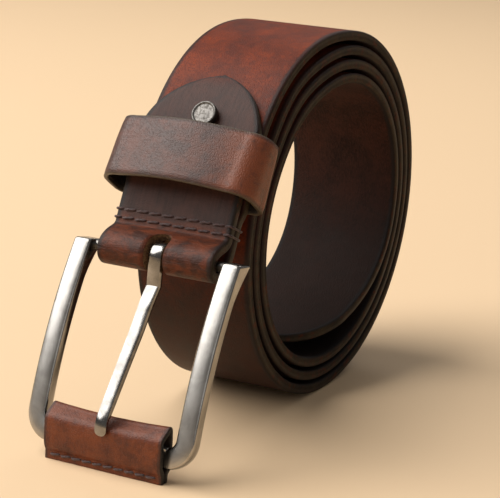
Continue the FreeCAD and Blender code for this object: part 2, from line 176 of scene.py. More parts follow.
def buildEdgeBand():
    # painted cut edge and the dark rim it leaves on both faces
    tree, given, made = makeGroup(
        "edgeBand",
        [("Hide", "NodeSocketVector", None), ("Rim", "NodeSocketFloat", 0.0), ("Edge Width", "NodeSocketFloat", 0.5),
         ("Rim Width", "NodeSocketFloat", 1.9)],
        [("Edge", "NodeSocketFloat"), ("Rim", "NodeSocketFloat"), ("Wear", "NodeSocketFloat")])
    wobble = noiseNode(tree, given["Hide"], 0.9, 3.0, 0.6)
    shifted = maths(tree, "ADD", given["Rim"], maths(tree, "MULTIPLY", maths(tree, "SUBTRACT", wobble, 0.5), 0.9))
    edge = addNode(tree, "ShaderNodeMapRange", interpolation_type="SMOOTHSTEP")
    feed(tree, edge, Value=given["Rim"], From_Min=given["Edge Width"], From_Max=0.05)
    rim = addNode(tree, "ShaderNodeMapRange", interpolation_type="SMOOTHSTEP")
    feed(tree, rim, Value=shifted, From_Min=given["Rim Width"], From_Max=maths(tree, "MULTIPLY", given["Rim Width"], 0.45))
    wear = ramp(tree, noiseNode(tree, given["Hide"], 0.45, 5.0, 0.7), 0.5, 0.68)
    tree.links.new(edge.outputs["Result"], made.inputs["Edge"])
    tree.links.new(rim.outputs["Result"], made.inputs["Rim"])
    tree.links.new(wear, made.inputs["Wear"])
    return tree


def buildMetalWear():
    # fine lines from finishing, soft smudges and tiny dents
    tree, given, made = makeGroup(
        "metalWear",
        [("Lines Stretch", "NodeSocketVector", (1.0, 1.0, 1.0)), ("Smudge Size", "NodeSocketFloat", 6.0)],
        [("Lines", "NodeSocketFloat"), ("Smudge", "NodeSocketFloat"), ("Height", "NodeSocketFloat")])
    spot = addNode(tree, "ShaderNodeTexCoord").outputs["Object"]
    inMm = addNode(tree, "ShaderNodeVectorMath", operation="SCALE")
    tree.links.new(spot, inMm.inputs[0])
    inMm.inputs["Scale"].default_value = 1000.0
    mapped = addNode(tree, "ShaderNodeMapping")
    feed(tree, mapped, Vector=inMm.outputs[0], Scale=given["Lines Stretch"])
    lines = noiseNode(tree, mapped.outputs["Vector"], 1.0, 4.0, 0.7)
    smudge = noiseNode(tree, inMm.outputs[0], maths(tree, "DIVIDE", 1.0, given["Smudge Size"]), 4.0, 0.6, 0.6)
    dents = ramp(tree, noiseNode(tree, inMm.outputs[0], 1.6, 2.0, 0.5), 0.62, 0.8)
    height = maths(tree, "SUBTRACT", maths(tree, "MULTIPLY", lines, 0.6), maths(tree, "MULTIPLY", dents, 0.4))
    tree.links.new(lines, made.inputs["Lines"])
    tree.links.new(smudge, made.inputs["Smudge"])
    tree.links.new(height, made.inputs["Height"])
    return tree


leatherGrain = buildLeatherGrain()
edgeBand = buildEdgeBand()
metalWear = buildMetalWear()


def bumpNode(tree, height, strength, distance):
    node = addNode(tree, "ShaderNodeBump")
    feed(tree, node, Strength=strength, Distance=distance, Height=height)
    return node.outputs["Normal"]


# ----------------------------------------------------------------- materials
strapFinish = {
    "grainDark": (0.062, 0.0085, 0.0018), "grainLight": (0.2258, 0.0335, 0.0036), "grainRed": (0.110, 0.0150, 0.0030),
    "fleshDark": (0.0100, 0.0026, 0.0014), "fleshLight": (0.0520, 0.0150, 0.0085),
    "tabDark": (0.0270, 0.0090, 0.0060), "tabLight": (0.0620, 0.0224, 0.0151),
    "rimPaint": (0.011, 0.009, 0.009), "edgeDark": (0.012, 0.0085, 0.0055), "edgeLight": (0.048, 0.033, 0.018),
    # the last two entries set painted shade: the strap colour is darkened towards the floor
    "paintedShade": 0.86, "paintedShadeColour": (0.0075, 0.0022, 0.0007),
    "foldDark": (0.056, 0.0160, 0.0085), "foldWarm": (0.180, 0.040, 0.012),
}


def strapMaterial():
    look = strapFinish
    material, tree, shader = newMaterial("waxedStrapLeather", Specular_IOR_Level=0.19, Coat_Roughness=0.34)
    flow = attributeNode(tree, "hide")
    hide = flow.outputs["Vector"]
    parts = addNode(tree, "ShaderNodeSeparateXYZ")
    tree.links.new(hide, parts.inputs[0])
    along, depth = parts.outputs["X"], parts.outputs["Z"]
    rim = attributeNode(tree, "rim").outputs["Fac"]
    grain = placeGroup(tree, leatherGrain, Hide=hide, Pore_Size=0.5, Blotch_Size=11.0, Pull=0.25)
    flesh = placeGroup(tree, leatherGrain, Hide=hide, Pore_Size=1.1, Blotch_Size=16.0, Pull=0.5)
    band = placeGroup(tree, edgeBand, Hide=hide, Rim=rim, Edge_Width=0.42, Rim_Width=2.1)
    blotch = ramp(tree, grain.outputs["Blotch"], 0.34, 0.66)
    outside = mixColour(tree, blotch, look["grainDark"], look["grainLight"])
    outside = mixColour(tree, ramp(tree, grain.outputs["Speckle"], 0.20, 0.48), look["grainRed"], outside)
    pores = ramp(tree, noiseNode(tree, hide, 1.9, 3.0, 0.75), 0.52, 0.66)
    outside = mixColour(tree, maths(tree, "MULTIPLY", pores, 0.55), outside, look["grainDark"])
    fibres = noiseNode(tree, stretched(tree, hide, (0.55, 1.5, 1.0)), 1.3, 5.0, 0.72, 0.8)
    fleshMix = maths(tree, "ADD", maths(tree, "MULTIPLY", flesh.outputs["Blotch"], 0.45),
                     maths(tree, "MULTIPLY", fibres, 0.55))
    inside = mixColour(tree, ramp(tree, fleshMix, 0.38, 0.62), look["fleshDark"], look["fleshLight"])
    streaks = noiseNode(tree, stretched(tree, hide, (0.05, 1.3, 1.0)), 1.0, 4.0, 0.7)
    tabMix = maths(tree, "ADD", maths(tree, "MULTIPLY", streaks, 0.35),
                   maths(tree, "MULTIPLY", grain.outputs["Blotch"], 0.65))
    tab = mixColour(tree, ramp(tree, tabMix, 0.36, 0.62), look["tabDark"], look["tabLight"])
    foldMix = noiseNode(tree, stretched(tree, hide, (0.9, 0.45, 1.0)), 0.42, 5.0, 0.62, 0.7)
    fold = mixColour(tree, ramp(tree, foldMix, 0.34, 0.66), look["foldDark"], look["foldWarm"])
    scuff = ramp(tree, noiseNode(tree, stretched(tree, hide, (0.5, 1.2, 1.0)), 0.9, 5.0, 0.8), 0.60, 0.74)
    fold = mixColour(tree, maths(tree, "MULTIPLY", scuff, 0.5), fold, look["grainLight"])
    onFold = maths(tree, "MULTIPLY", ramp(tree, along, marks["backPly"], marks["loop"]),
                   ramp(tree, along, marks["front"] + 4.5, marks["front"] - 1.0))
    tab = mixColour(tree, onFold, tab, fold)
    onTab = ramp(tree, along, marks["nip"], marks["sewn"])
    inside = mixColour(tree, onTab, inside, tab)
    grainFace = ramp(tree, depth, -0.4, 0.4)
    face = mixColour(tree, grainFace, inside, outside)
    spot = addNode(tree, "ShaderNodeTexCoord").outputs["Object"]
    place = addNode(tree, "ShaderNodeSeparateXYZ")
    tree.links.new(spot, place.inputs[0])
    # painted shade: below about 88 mm up the strap colour darkens towards the floor, standing in for the shade on the
    # underside and lower front of the roll
    paintedShadeHeight = maths(tree, "ADD", place.outputs["Z"], maths(tree, "MULTIPLY", grain.outputs["Blotch"], 0.02))
    paintedShade = maths(tree, "MULTIPLY", ramp(tree, paintedShadeHeight, 0.088, 0.040), look["paintedShade"])
    face = mixColour(tree, paintedShade, face, look["paintedShadeColour"])
    face = mixColour(tree, maths(tree, "MULTIPLY", band.outputs["Rim"], 0.82), face, look["rimPaint"])
    edgeColour = mixColour(tree, ramp(tree, grain.outputs["Blotch"], 0.35, 0.7), look["edgeDark"], look["edgeLight"])
    edgeColour = mixColour(tree, maths(tree, "MULTIPLY", band.outputs["Wear"], 0.5), edgeColour, look["grainRed"])
    colour = mixColour(tree, band.outputs["Edge"], face, edgeColour)
    tree.links.new(colour, shader.inputs["Base Color"])
    smoothTab = maths(tree, "MULTIPLY", onTab, maths(tree, "SUBTRACT", 1.0, grainFace))
    rough = maths(tree, "ADD", 0.44, maths(tree, "MULTIPLY", grain.outputs["Blotch"], 0.22))
    rough = maths(tree, "ADD", rough, maths(tree, "MULTIPLY", maths(tree, "SUBTRACT", 1.0, grainFace), 0.20))
    rough = maths(tree, "SUBTRACT", rough, maths(tree, "MULTIPLY", smoothTab, 0.17))
    tree.links.new(rough, shader.inputs["Roughness"])
    tree.links.new(maths(tree, "MULTIPLY", maths(tree, "ADD", maths(tree, "MULTIPLY", grainFace, 0.4), smoothTab), 0.14),
                   shader.inputs["Coat Weight"])
    rubbed = maths(tree, "ADD", maths(tree, "MULTIPLY", grain.outputs["Height"], 0.5),
                   maths(tree, "MULTIPLY", fibres, maths(tree, "MULTIPLY", maths(tree, "SUBTRACT", 1.0, grainFace),
                                                          maths(tree, "SUBTRACT", 1.1, onTab))))
    crease = maths(tree, "MULTIPLY", noiseNode(tree, stretched(tree, hide, (1.1, 0.16, 1.0)), 1.0, 3.0, 0.6, 1.2),
                   onFold)
    height = maths(tree, "ADD", rubbed, maths(tree, "MULTIPLY", crease, 1.6))
    tree.links.new(bumpNode(tree, height, 0.62, 0.00042), shader.inputs["Normal"])
    return material


keeperFinish = {"dark": (0.040, 0.0105, 0.0052), "light": (0.105, 0.031, 0.0165), "warm": (0.190, 0.045, 0.012),
                "inside": (0.010, 0.006, 0.005), "rawEdge": (0.060, 0.040, 0.020), "rim": (0.020, 0.012, 0.010)}


def keeperMaterial():
    look = keeperFinish
    material, tree, shader = newMaterial("glossyKeeperLeather", Specular_IOR_Level=0.5, Coat_Roughness=0.28)
    hide = attributeNode(tree, "hide").outputs["Vector"]
    parts = addNode(tree, "ShaderNodeSeparateXYZ")
    tree.links.new(hide, parts.inputs[0])
    rim = attributeNode(tree, "rim").outputs["Fac"]
    grain = placeGroup(tree, leatherGrain, Hide=hide, Pore_Size=0.5, Blotch_Size=8.0, Pull=0.6)
    band = placeGroup(tree, edgeBand, Hide=hide, Rim=rim, Edge_Width=0.30, Rim_Width=1.2)
    spread = addNode(tree, "ShaderNodeTexCoord").outputs["Object"]
    place = addNode(tree, "ShaderNodeSeparateXYZ")
    tree.links.new(spread, place.inputs[0])
    face = mixColour(tree, ramp(tree, grain.outputs["Blotch"], 0.36, 0.64), look["dark"], look["light"])
    pores = ramp(tree, noiseNode(tree, hide, 1.7, 3.0, 0.75), 0.52, 0.68)
    face = mixColour(tree, maths(tree, "MULTIPLY", pores, 0.5), face, look["dark"])
    warmSide = ramp(tree, place.outputs["X"], 0.008, 0.021)
    warmth = maths(tree, "MULTIPLY", warmSide, ramp(tree, grain.outputs["Blotch"], 0.30, 0.55))
    face = mixColour(tree, warmth, face, look["warm"])
    face = mixColour(tree, maths(tree, "MULTIPLY", band.outputs["Rim"], 0.55), face, look["rim"])
    face = mixColour(tree, ramp(tree, parts.outputs["Z"], 0.2, -0.3), face, look["inside"])
    face = mixColour(tree, band.outputs["Edge"], face, look["rawEdge"])
    tree.links.new(face, shader.inputs["Base Color"])
    tree.links.new(maths(tree, "ADD", 0.36, maths(tree, "MULTIPLY", grain.outputs["Blotch"], 0.24)),
                   shader.inputs["Roughness"])
    tree.links.new(maths(tree, "MULTIPLY", ramp(tree, parts.outputs["Z"], -0.3, 0.2), 0.14),
                   shader.inputs["Coat Weight"])
    tree.links.new(bumpNode(tree, grain.outputs["Height"], 0.55, 0.00036), shader.inputs["Normal"])
    return material


sleeveFinish = {"dark": (0.072, 0.0140, 0.0042), "light": (0.170, 0.037, 0.0085), "rim": (0.022, 0.008, 0.006),
                "roughEnd": (0.008, 0.006, 0.005), "inside": (0.015, 0.007, 0.005)}


def sleeveMaterial():
    look = sleeveFinish
    material, tree, shader = newMaterial("waxedSleeveLeather", Specular_IOR_Level=0.30, Coat_Roughness=0.4)
    hide = attributeNode(tree, "hide").outputs["Vector"]
    parts = addNode(tree, "ShaderNodeSeparateXYZ")
    tree.links.new(hide, parts.inputs[0])
    rim = attributeNode(tree, "rim").outputs["Fac"]
    grain = placeGroup(tree, leatherGrain, Hide=hide, Pore_Size=0.42, Blotch_Size=6.5, Pull=0.5)
    band = placeGroup(tree, edgeBand, Hide=hide, Rim=rim, Edge_Width=0.35, Rim_Width=1.4)
    face = mixColour(tree, ramp(tree, grain.outputs["Blotch"], 0.34, 0.62), look["dark"], look["light"])
    pores = ramp(tree, noiseNode(tree, hide, 1.9, 3.0, 0.75), 0.54, 0.68)
    face = mixColour(tree, maths(tree, "MULTIPLY", pores, 0.5), face, look["dark"])
    face = mixColour(tree, maths(tree, "MULTIPLY", band.outputs["Rim"], 0.7), face, look["rim"])
    face = mixColour(tree, ramp(tree, parts.outputs["Z"], 0.2, -0.3), face, look["inside"])
    face = mixColour(tree, band.outputs["Edge"], face, look["roughEnd"])
    tree.links.new(face, shader.inputs["Base Color"])
    tree.links.new(maths(tree, "ADD", 0.34, maths(tree, "MULTIPLY", grain.outputs["Speckle"], 0.3)),
                   shader.inputs["Roughness"])
    tree.links.new(maths(tree, "MULTIPLY", ramp(tree, parts.outputs["Z"], -0.3, 0.2), 0.2),
                   shader.inputs["Coat Weight"])
    tree.links.new(bumpNode(tree, grain.outputs["Height"], 0.55, 0.00034), shader.inputs["Normal"])
    return material


# dark and light are mixed partly by painted shade in the ply grooves and partly by random fuzz
threadFinish = {"dark": (0.014, 0.005, 0.005), "light": (0.070, 0.022, 0.021)}


def threadMaterial():
    look = threadFinish
    material, tree, shader = newMaterial("waxedThread", Roughness=0.55, Sheen_Weight=0.2, Sheen_Roughness=0.5)
    twist = attributeNode(tree, "twist").outputs["Fac"]
    spot = addNode(tree, "ShaderNodeTexCoord").outputs["Object"]
    fuzz = noiseNode(tree, spot, 5200.0, 3.0, 0.7)
    # painted shade: the colour darkens along the twist stripes that the bump makes into grooves between the plies; the
    # fuzz noise is the thread's own tone
    plyGrooveShade = ramp(tree, maths(tree, "SINE", twist), -0.8, 0.7)
    plyShadeAndFuzz = maths(tree, "ADD", maths(tree, "MULTIPLY", plyGrooveShade, 0.6), maths(tree, "MULTIPLY", fuzz, 0.5))
    tree.links.new(mixColour(tree, plyShadeAndFuzz, look["dark"], look["light"]), shader.inputs["Base Color"])
    tree.links.new(bumpNode(tree, plyShadeAndFuzz, 0.7, 0.00015), shader.inputs["Normal"])
    return material


frameFinish = {"shade": (0.330, 0.318, 0.300), "bright": (0.430, 0.418, 0.400), "satin": 0.30, "side": 0.14}


def frameMaterial():
    look = frameFinish
    material, tree, shader = newMaterial("satinNickel", Metallic=1.0, Specular_IOR_Level=0.5)
    wear = placeGroup(tree, metalWear, Lines_Stretch=(14.0, 0.7, 0.5), Smudge_Size=7.0)
    front = attributeNode(tree, "front").outputs["Fac"]
    colour = mixColour(tree, ramp(tree, wear.outputs["Smudge"], 0.3, 0.7), look["shade"], look["bright"])
    colour = mixColour(tree, maths(tree, "MULTIPLY", ramp(tree, wear.outputs["Lines"], 0.55, 0.75), 0.25),
                       colour, look["bright"])
    tree.links.new(colour, shader.inputs["Base Color"])
    satin = maths(tree, "ADD", look["side"], maths(tree, "MULTIPLY", front, look["satin"] - look["side"]))
    lined = maths(tree, "MULTIPLY", maths(tree, "SUBTRACT", wear.outputs["Lines"], 0.5), 0.22)
    tree.links.new(maths(tree, "ADD", maths(tree, "ADD", satin, lined),
                         maths(tree, "MULTIPLY", wear.outputs["Smudge"], 0.08)), shader.inputs["Roughness"])
    height = maths(tree, "MULTIPLY", wear.outputs["Height"], front)
    tree.links.new(bumpNode(tree, height, 0.22, 0.00006), shader.inputs["Normal"])
    return material


tongueFinish = {"shade": (0.190, 0.182, 0.172), "bright": (0.330, 0.320, 0.308), "rough": 0.13}


def tongueMaterial(name="polishedTongue", rough=None, stretch=(3.0, 0.6, 0.6)):
    look = tongueFinish
    material, tree, shader = newMaterial(name, Metallic=1.0)
    wear = placeGroup(tree, metalWear, Lines_Stretch=stretch, Smudge_Size=5.0)
    tree.links.new(mixColour(tree, ramp(tree, wear.outputs["Smudge"], 0.3, 0.7), look["shade"], look["bright"]),
                   shader.inputs["Base Color"])
    base = look["rough"] if rough is None else rough
    tree.links.new(maths(tree, "ADD", base, maths(tree, "MULTIPLY", wear.outputs["Smudge"], 0.14)),
                   shader.inputs["Roughness"])
    tree.links.new(bumpNode(tree, wear.outputs["Height"], 0.12, 0.00005), shader.inputs["Normal"])
    return material


rivetFinish = {"tarnish": (0.095, 0.086, 0.077), "silver": (0.185, 0.176, 0.166)}


def rivetMaterial():
    look = rivetFinish
    material, tree, shader = newMaterial("antiqueRivet", Metallic=1.0)
    wear = placeGroup(tree, metalWear, Lines_Stretch=(1.2, 1.2, 1.2), Smudge_Size=0.9)
    front = attributeNode(tree, "front").outputs["Fac"]
    mottle = ramp(tree, maths(tree, "ADD", maths(tree, "MULTIPLY", wear.outputs["Smudge"], 0.7),
                              maths(tree, "MULTIPLY", wear.outputs["Lines"], 0.3)), 0.38, 0.56)
    kept = maths(tree, "MULTIPLY", maths(tree, "ADD", maths(tree, "MULTIPLY", mottle, 0.75), 0.25), front)
    tree.links.new(mixColour(tree, kept, look["tarnish"], look["silver"]), shader.inputs["Base Color"])
    tree.links.new(maths(tree, "SUBTRACT", 0.62, maths(tree, "MULTIPLY", mottle, 0.16)), shader.inputs["Roughness"])
    tree.links.new(bumpNode(tree, wear.outputs["Smudge"], 0.35, 0.00012), shader.inputs["Normal"])
    return material


def rawCutMaterial():
    material, tree, shader = newMaterial("rawCutLeather", Roughness=0.85, Specular_IOR_Level=0.25)
    spot = addNode(tree, "ShaderNodeTexCoord").outputs["Object"]
    fibre = noiseNode(tree, spot, 1500.0, 5.0, 0.75)
    tree.links.new(mixColour(tree, ramp(tree, fibre, 0.35, 0.65), (0.060, 0.028, 0.015), (0.260, 0.150, 0.075)),
                   shader.inputs["Base Color"])
    tree.links.new(bumpNode(tree, fibre, 0.6, 0.0002), shader.inputs["Normal"])
    return material


# -------------------------------------------------------------- mesh helpers
def newMesh(name, points, faces, material, body, nodes, smooth=True):
    mesh = bpy.data.meshes.new(name)
    mesh.from_pydata([tuple(p) for p in points], [], faces)
    mesh.validate()
    mesh.polygons.foreach_set("use_smooth", [smooth] * len(mesh.polygons))
    obj = bpy.data.objects.new(name, mesh)
    bpy.context.scene.collection.objects.link(obj)
    mesh.materials.append(material)
    if body:
        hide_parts(*nodes)
        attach(obj, body)
    return obj


def setAttribute(obj, name, kind, values):
    data = obj.data.attributes.get(name) or obj.data.attributes.new(name, kind, "POINT")
    key = "vector" if kind == "FLOAT_VECTOR" else "value"
    data.data.foreach_set(key, np.asarray(values, np.float32).ravel())


def sectionOutline(half, low, high, corner, faceSteps, cornerSteps):
    # (across, depth) pairs round a strip of leather, grain face first
    r = min(corner, (high - low) * 0.48, half * 0.8)
    outline = []
    for i in range(faceSteps + 1):
        outline.append((-(half - r) + 2 * (half - r) * i / faceSteps, high))
    for i in range(1, cornerSteps + 1):
        a = math.radians(90 - 90 * i / cornerSteps)
        outline.append((half - r + r * math.cos(a), high - r + r * math.sin(a)))
    for i in range(cornerSteps + 1):
        a = math.radians(-90 * i / cornerSteps)
        outline.append((half - r + r * math.cos(a), low + r + r * math.sin(a)))
    for i in range(1, faceSteps + 1):
        outline.append(((half - r) - 2 * (half - r) * i / faceSteps, low))
    for i in range(1, cornerSteps + 1):
        a = math.radians(-90 - 90 * i / cornerSteps)
        outline.append((-(half - r) + r * math.cos(a), low + r + r * math.sin(a)))
    for i in range(cornerSteps):
        a = math.radians(180 - 90 * i / cornerSteps)
        outline.append((-(half - r) + r * math.cos(a), high - r + r * math.sin(a)))
    return outline


def sweepStrip(name, stations, material, body, nodes, closed=False, corner=0.7,
               faceSteps=12, cornerSteps=4):
    # stations: dicts with place, across, out (vectors) and along, half, low, high (mm)
    points, hides, rims = [], [], []
    ring = 0
    for st in stations:
        outline = sectionOutline(st["half"], st["low"], st["high"], corner, faceSteps, cornerSteps)
        ring = len(outline)
        for w, n in outline:
            points.append(st["place"] + (st["across"] * (w + st.get("slide", 0.0)) + st["out"] * n) * mm)
            hides.append((st["along"], w, n - st.get("middle", 0.0)))
            rims.append(min(st["half"] - abs(w), st.get("toEnd", 99.0)))
    faces = []
    count = len(stations)
    for i in range(count if closed else count - 1):
        a, b = i * ring, ((i + 1) % count) * ring
        for k in range(ring):
            j = (k + 1) % ring
            faces.append((a + k, a + j, b + j, b + k))
    if not closed:
        faces.append(tuple(range(ring - 1, -1, -1)))
        faces.append(tuple(range((count - 1) * ring, count * ring)))
    obj = newMesh(name, points, faces, material, None, nodes)
    setAttribute(obj, "hide", "FLOAT_VECTOR", hides)
    setAttribute(obj, "rim", "FLOAT", rims)
    if body:
        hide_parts(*nodes)
        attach(obj, body)
    return obj


def fixNormals(obj):
    import bmesh
    bm = bmesh.new()
    bm.from_mesh(obj.data)
    bmesh.ops.recalc_face_normals(bm, faces=bm.faces)
    bm.to_mesh(obj.data)
    bm.free()


# --------------------------------------------------------------- strap route
strapShape = {
    "width": 38.0, "thickness": 3.1, "corner": 0.85,
    "top": 58.1, "back": 60.1, "bottom": 57.6, "front": 58.9,
    "turnTop": 4.45, "turnBack": 3.6, "turnBottom": 4.15, "turnFront": 4.3, "skew": 1.1,
    "startAngle": 14.0, "endAngle": 1297.0, "dip": 4.8, "dipStart": 1185.0, "dipEnd": 1310.0,
    "shoulderLift": 1.6, "shoulderAngle": 326.0, "shoulderSpread": 17.0,
    "leadRadius": 54.3, "leadY": -5.0, "leadZ": 4.2, "leadFirst": 10.0, "leadLast": 68.0, "leadFoot": 6.5,
    "tabLean": 25.0, "footY": -66.6, "footZ": 10.55, "plyGap": 0.05, "sewnAbove": 1.2, "sewnBelow": 3.4,
    "tabStraight": 12.0, "contactAngle": 57.0, "apexAngle": 38.0, "pointLength": 18.0, "pointRadius": 26.0,
    "barY": -72.9, "barZ": 0.4, "loopRadius": 3.4, "foldRise": 30.0,
    "tailPoint": 36.0, "tailPointHalf": 3.0, "skive": 1.7, "skiveLength": 22.0,
    "slotWidth": 6.4, "holeRadius": 2.25, "firstHole": 1071.0, "holeStep": -33.0, "holeCount": 5,
}
shape = strapShape
lean = math.radians(shape["tabLean"])
tabUp = Vector((0, math.sin(lean), math.cos(lean)))
tabIn = Vector((0, math.cos(lean), -math.sin(lean)))


def tabPoint(height, inward, x=0.0):
    return Vector((x, shape["footY"], shape["footZ"])) + tabUp * height + tabIn * inward


def fourWay(angle, top, back, bottom, front):
    mean = (top + back + bottom + front) / 4
    return (mean + (top - bottom) / 2 * math.cos(angle) + (back - front) / 2 * math.sin(angle)
            + (top + bottom - back - front) / 4 * math.cos(2 * angle))


def rollRadius(degrees):
    a = math.radians(degrees)
    radius = fourWay(a, shape["top"], shape["back"], shape["bottom"], shape["front"])
    radius += shape["skew"] * math.sin(2 * a)
    radius -= fourWay(a, shape["turnTop"], shape["turnBack"], shape["turnBottom"], shape["turnFront"]) * degrees / 360
    if shape["dipStart"] < degrees < shape["dipEnd"]:
        part = (degrees - shape["dipStart"]) / (shape["dipEnd"] - shape["dipStart"])
        radius -= shape["dip"] * math.sin(math.pi * part) ** 2
    for turn in range(3):  # the turns stand proud where the lead leaves them
        off = (degrees - shape["shoulderAngle"] - 360 * turn) / shape["shoulderSpread"]
        radius += shape["shoulderLift"] * (1 - 0.3 * turn) * math.exp(-off * off)
    return radius - shape["thickness"] / 2


def rollPoint(degrees):
    a = math.radians(degrees)
    radius = rollRadius(degrees)
    return Vector((0, radius * math.sin(a), radius * math.cos(a)))


def leadPoint(degrees, radius):
    a = math.radians(degrees)
    return Vector((0, shape["leadY"] - radius * math.sin(a), shape["leadZ"] + radius * math.cos(a)))


def bend(start, startWay, end, endWay, gripA, gripB, count=60):
    b, c = start + startWay * gripA, end - endWay * gripB
    out = []
    for i in range(count + 1):
        u = i / count
        v = 1 - u
        out.append(start * v ** 3 + b * (3 * v * v * u) + c * (3 * v * u * u) + end * u ** 3)
    return out


def straight(start, end, count=20):
    return [start.lerp(end, i / count) for i in range(count + 1)]


def strapRoute():
    half = shape["thickness"] / 2
    marks = {}
    roll = [rollPoint(d / 2) for d in range(int(shape["endAngle"] * 2), int(shape["startAngle"] * 2) - 1, -1)]
    leadR = shape["leadRadius"] - half
    steps = [shape["leadFirst"] + (shape["leadLast"] - shape["leadFirst"]) * i / 120 for i in range(121)]
    lead = [leadPoint(d, leadR) for d in steps]
    rollWay = (roll[-1] - roll[-2]).normalized()
    leadWay = (lead[1] - lead[0]).normalized()
    dropWay = (lead[-1] - lead[-2]).normalized()
    top = bend(roll[-1], rollWay, lead[0], leadWay, 9, 9)
    height = (lead[-1] - tabPoint(0, 0)).dot(tabUp)
    dropEnd = lead[-1] + dropWay * ((height - shape["leadFoot"]) / abs(dropWay.dot(tabUp)))
    drop = straight(lead[-1], dropEnd, 40)
    backMiddle = shape["thickness"] + shape["plyGap"] + half
    sewnTop = tabPoint(shape["sewnAbove"], backMiddle)
    sewnLow = tabPoint(-shape["sewnBelow"], backMiddle)
    nip = bend(dropEnd, dropWay, sewnTop, -tabUp, 1.9, 1.9)
    bar = Vector((0, shape["barY"], shape["barZ"]))
    angles = [270 - (180 - shape["foldRise"]) * i / 60 for i in range(61)]
    loop = [bar + Vector((0, math.cos(math.radians(a)), math.sin(math.radians(a)))) * shape["loopRadius"]
            for a in angles]
    backPly = bend(sewnLow, -tabUp, loop[0], Vector((0, -1, 0)), 5, 5)
    frontLow = tabPoint(-shape["sewnBelow"], half)
    frontTop = tabPoint(shape["tabStraight"], half)
    riseWay = (loop[-1] - loop[-2]).normalized()
    rise = bend(loop[-1], riseWay, frontLow, tabUp, 4.2, 3.0)
    tipR = shape["leadRadius"] + shape["plyGap"] + half
    span = shape["contactAngle"] - shape["apexAngle"]
    tip = [leadPoint(shape["contactAngle"] - span * i / 80, tipR) for i in range(81)]
    tipWay = (tip[1] - tip[0]).normalized()
    close = bend(frontTop, tabUp, tip[0], tipWay, 6, 6)
    sections = [("roll", roll), ("top", top), ("lead", lead), ("drop", drop), ("nip", nip),
                ("sewn", straight(sewnTop, sewnLow)), ("backPly", backPly), ("loop", loop), ("rise", rise),
                ("front", straight(frontLow, frontTop, 60)), ("close", close), ("tip", tip)]
    line = []
    for label, piece in sections:
        marks[label] = len(line)
        line += piece if not line else piece[1:]
    line = np.array([(p.y, p.z) for p in line])
    gaps = np.hypot(*np.diff(line, axis=0).T)
    along = np.concatenate([[0], np.cumsum(gaps)])
    return line, along, {label: float(along[index - 1 if index else 0]) for label, index in marks.items()}


line, alongLine, marks = strapRoute()
total = float(alongLine[-1])
print("stage: route", round(total, 1), "mm", {k: round(v, 1) for k, v in marks.items()})


strapLeather = strapMaterial()
keeperLeather = keeperMaterial()
sleeveLeather = sleeveMaterial()
threadLook = threadMaterial()
nickel = frameMaterial()
tongueSteel = tongueMaterial()
barSteel = tongueMaterial("drawnBarSteel", 0.3, (0.4, 6.0, 6.0))
rivetSilver = rivetMaterial()
rawCut = rawCutMaterial()
print("stage: materials made")



def routeStation(s):
    y, z = np.interp(s, alongLine, line[:, 0]), np.interp(s, alongLine, line[:, 1])
    a, b = max(0.0, s - 0.35), min(total, s + 0.35)
    ty = np.interp(b, alongLine, line[:, 0]) - np.interp(a, alongLine, line[:, 0])
    tz = np.interp(b, alongLine, line[:, 1]) - np.interp(a, alongLine, line[:, 1])
    size = math.hypot(ty, tz)
    return float(y), float(z), ty / size, tz / size


def pointHalf(fromEnd, length, radius, full, blunt=0.0):
    # half width of a pointed end, fromEnd mm behind its tip
    if fromEnd >= length:
        return full
    wide = full - blunt
    chord = math.hypot(length, wide)
    rise = math.sqrt(max(radius ** 2 - (chord / 2) ** 2, 0))
    cd = length / 2 + wide / chord * rise
    cw = wide / 2 - length / chord * rise
    return blunt + cw + math.sqrt(max(radius ** 2 - (fromEnd - cd) ** 2, 0))


def strapStations():
    spots = []
    s = 0.0
    while s < total:
        spots.append(s)
        fromTail, fromTip = s, total - s
        if fromTail < 3 or fromTip < 3:
            s += 0.25
        elif fromTail < 40 or fromTip < 20:
            s += 0.7
        elif s > marks["nip"] - 2 and s < marks["front"] + 2:
            s += 0.45
        else:
            s += 1.5
    spots.append(total)
    half = shape["thickness"] / 2
    out = []
    for s in spots:
        y, z, ty, tz = routeStation(s)
        fromTip, fromTail = total - s, s
        wide = min(pointHalf(fromTip, shape["pointLength"], shape["pointRadius"], shape["width"] / 2),
                   pointHalf(fromTail, shape["tailPoint"], shape["tailPoint"] * 1.6, shape["width"] / 2,
                             shape["tailPointHalf"]))
        wide = max(wide, 0.35)
        thin = shape["skive"] * max(0.0, 1 - fromTip / shape["skiveLength"]) ** 1.3
        thinTail = 0.9 * max(0.0, 1 - fromTail / 25.0)
        out.append({"place": toFrame(0, y, z), "across": Vector((1, 0, 0)), "out": Vector((0, tz, -ty)),
                    "along": s, "half": wide, "low": -half + thin + thinTail, "high": half,
                    "toEnd": min(fromTip, fromTail) + 0.15})
    return out


def makeCutter(name, outline, way, depth):
    # prism from an outline of points, cut faces show raw leather
    count = len(outline)
    points = list(outline) + [p + way * depth for p in outline]
    faces = [tuple(range(count)), tuple(range(2 * count - 1, count - 1, -1))]
    faces += [(i, i + count, (i + 1) % count + count, (i + 1) % count) for i in range(count)]
    obj = newMesh(name, points, faces, rawCut, None, (), False)
    fixNormals(obj)
    return obj


def slotOutline(top, along, half, reach):
    side = Vector((1, 0, 0))
    points = []
    for i in range(13):
        a = math.pi * i / 12
        points.append(top + side * (math.cos(a) * half) + along * (math.sin(a) * half))
    return points + [top - side * half - along * reach, top + side * half - along * reach]


def cutAway(obj, cutters):
    for cutter in cutters:
        modifier = obj.modifiers.new("cut", "BOOLEAN")
        modifier.object = cutter
        modifier.operation = "DIFFERENCE"
        modifier.solver = "EXACT"
        modifier.material_mode = "TRANSFER"
    dg = bpy.context.evaluated_depsgraph_get()
    mesh = bpy.data.meshes.new_from_object(obj.evaluated_get(dg))
    old = obj.data
    obj.modifiers.clear()
    obj.data = mesh
    bpy.data.meshes.remove(old)
    for cutter in cutters:
        bpy.data.objects.remove(cutter)


